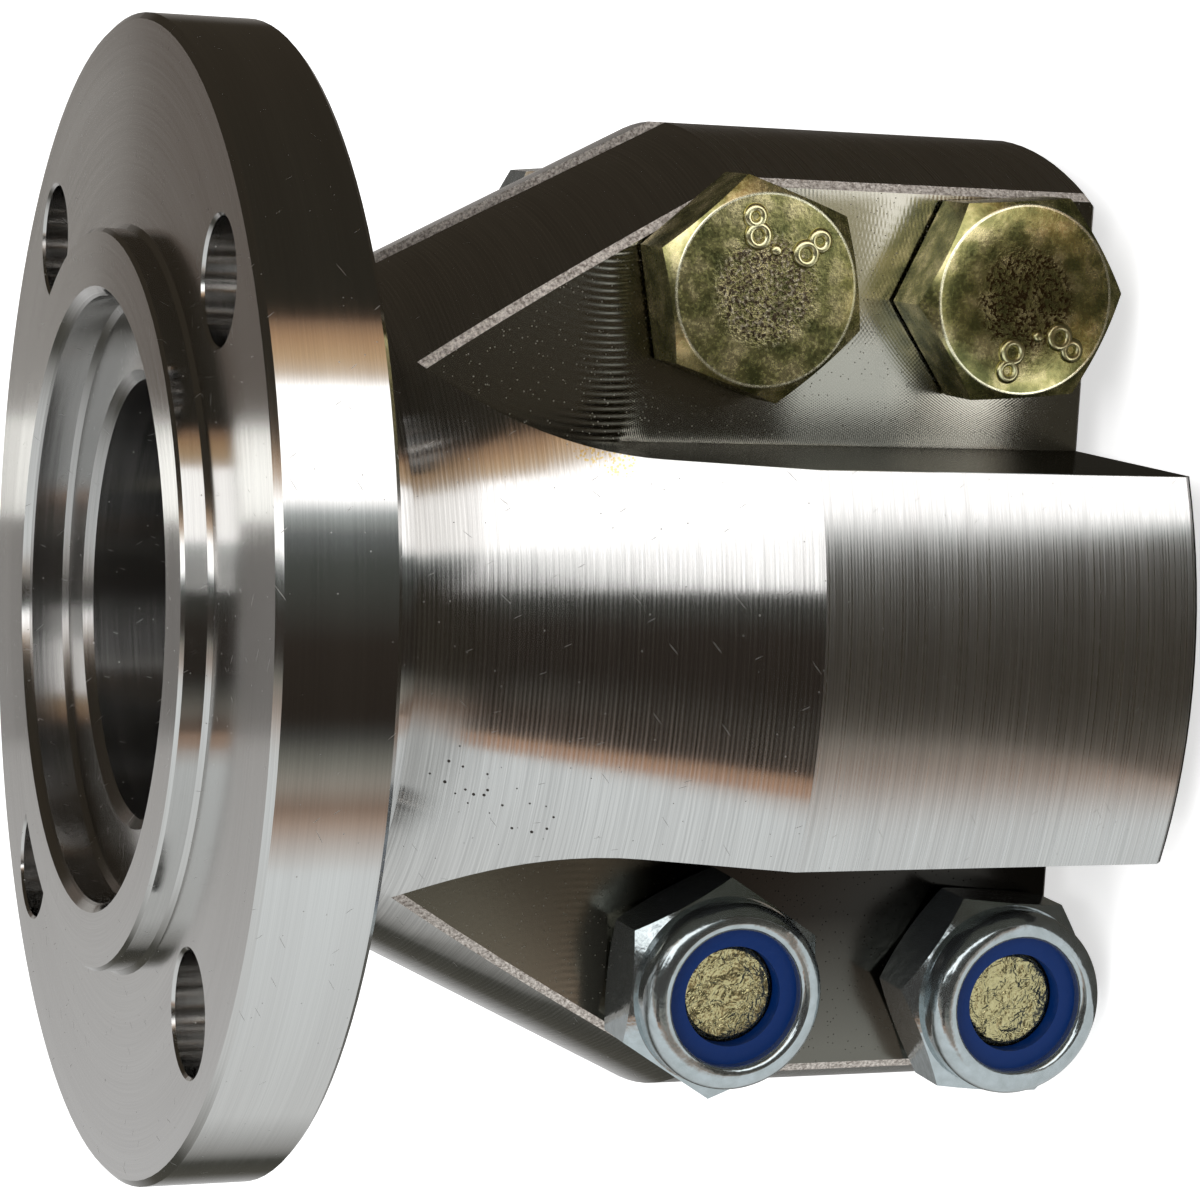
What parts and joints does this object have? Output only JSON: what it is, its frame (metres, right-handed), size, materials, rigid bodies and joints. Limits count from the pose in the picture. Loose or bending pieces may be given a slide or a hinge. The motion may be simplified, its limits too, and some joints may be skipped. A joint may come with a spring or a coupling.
{
  "type": "split half coupling",
  "caption": "Turned steel half coupling: a round bolting flange with a centring pilot on a tapered, slotted hub whose ears are clamped on a shaft by cross bolts with lock nuts.",
  "frame": {"origin": "on the shaft's axis, at the level of the lowest bolt corner, on which the part stands beside the edge of its hub end", "axes": "+Z along the shaft's axis from the hub end to the flange, X in the plane of the slot, Y along the clamp bolts"},
  "size_m": [0.1, 0.1, 0.087],
  "materials": {
    "turned_steel": "turned and milled bare steel",
    "yellow_zinc": "yellow passivated zinc plate",
    "clear_zinc": "clear passivated zinc plate",
    "blue_nylon": "moulded nylon"
  },
  "bodies": {
    "root": {"coupling_body": "turned_steel", "clamp_bolt_1": "yellow_zinc", "clamp_bolt_2": "yellow_zinc", "clamp_bolt_3": "yellow_zinc", "clamp_bolt_4": "yellow_zinc", "lock_nut_1": "clear_zinc", "lock_nut_2": "clear_zinc", "lock_nut_3": "clear_zinc", "lock_nut_4": "clear_zinc", "nylon_ring_1": "blue_nylon", "nylon_ring_2": "blue_nylon", "nylon_ring_3": "blue_nylon", "nylon_ring_4": "blue_nylon"}
  },
  "joints": []
}
